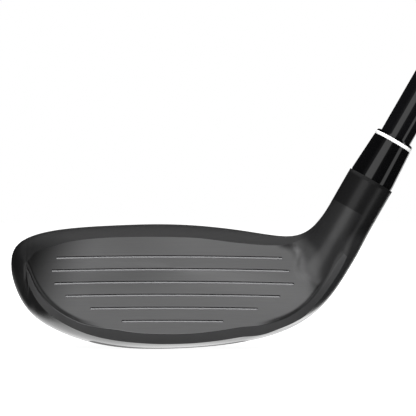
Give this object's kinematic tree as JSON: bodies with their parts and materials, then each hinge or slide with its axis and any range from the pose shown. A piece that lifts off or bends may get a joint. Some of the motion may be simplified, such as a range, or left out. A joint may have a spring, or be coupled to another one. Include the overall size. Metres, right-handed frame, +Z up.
{
  "type": "hybrid golf club",
  "caption": "Hybrid golf club: hollow low-profile head with a grooved lofted face and bonded hosel, ringed ferrule, tapered shaft, rubber grip and a rear sole weight screw.",
  "frame": {"origin": "the centre of the small flat on the sole where the club rests on the ground", "axes": "+X from toe to heel, along the ground; +Y from the face to the rear of the head; +Z up. The shaft leans 60 degrees above the ground in the plane parallel to XZ"},
  "size_m": [0.5966, 0.0583, 0.8864],
  "materials": {
    "dark_steel": "smooth dark satin to gloss finish on cast steel, polished along the sole",
    "crown_paint": "dark satin paint",
    "face_steel": "fine horizontal brushing with pressed score lines",
    "slot_polymer": "matt black polymer",
    "tungsten": "plain machined",
    "hot_melt": "tacky amber blob",
    "screw_steel": "turned, dark plated",
    "seal_rubber": "plain black",
    "plug_plastic": "plain",
    "epoxy": "cured adhesive",
    "ferrule_black": "buffed gloss black",
    "ferrule_white": "gloss white",
    "shaft_paint": "clear-coated black",
    "brass": "plain turned",
    "tape": "double-sided paper tape",
    "grip_rubber": "matt black with a fine moulded texture",
    "grip_cap_plastic": "plain moulded"
  },
  "bodies": {
    "club": {"head_body": "dark_steel", "crown_shell": "crown_paint", "face_plate": "face_steel", "sole_slot_insert": "slot_polymer", "toe_weight_pad": "tungsten", "heel_weight_pad": "tungsten", "damping_glue_pad": "hot_melt", "hosel_plug": "plug_plastic", "hosel_epoxy": "epoxy", "ferrule_body": "ferrule_black", "ferrule_ring": "ferrule_white", "ferrule_cap": "ferrule_black", "shaft": "shaft_paint", "tip_weight": "brass", "grip_tape": "tape", "grip": "grip_rubber", "grip_cap": "grip_cap_plastic"},
    "weight_carrier": {"weight_seal_ring": "seal_rubber"},
    "weight_turner": {"weight_screw": "screw_steel"}
  },
  "joints": [
    {"name": "weight_travel", "type": "slide", "parent": "club", "child": "weight_carrier", "axis": [0, 0.6293, -0.7772], "range_m": [0, 0.0052]},
    {"name": "weight_turn", "type": "hinge", "parent": "weight_carrier", "child": "weight_turner", "pos_m": [-0.001, 0.03403, 0.00737], "axis": [0, 0.6293, -0.7772], "range_deg": [0, 2340.2]}
  ],
  "couplings": [
    {"joint": "weight_turn", "follows": "weight_travel", "rad_per_m": 7854}
  ]
}
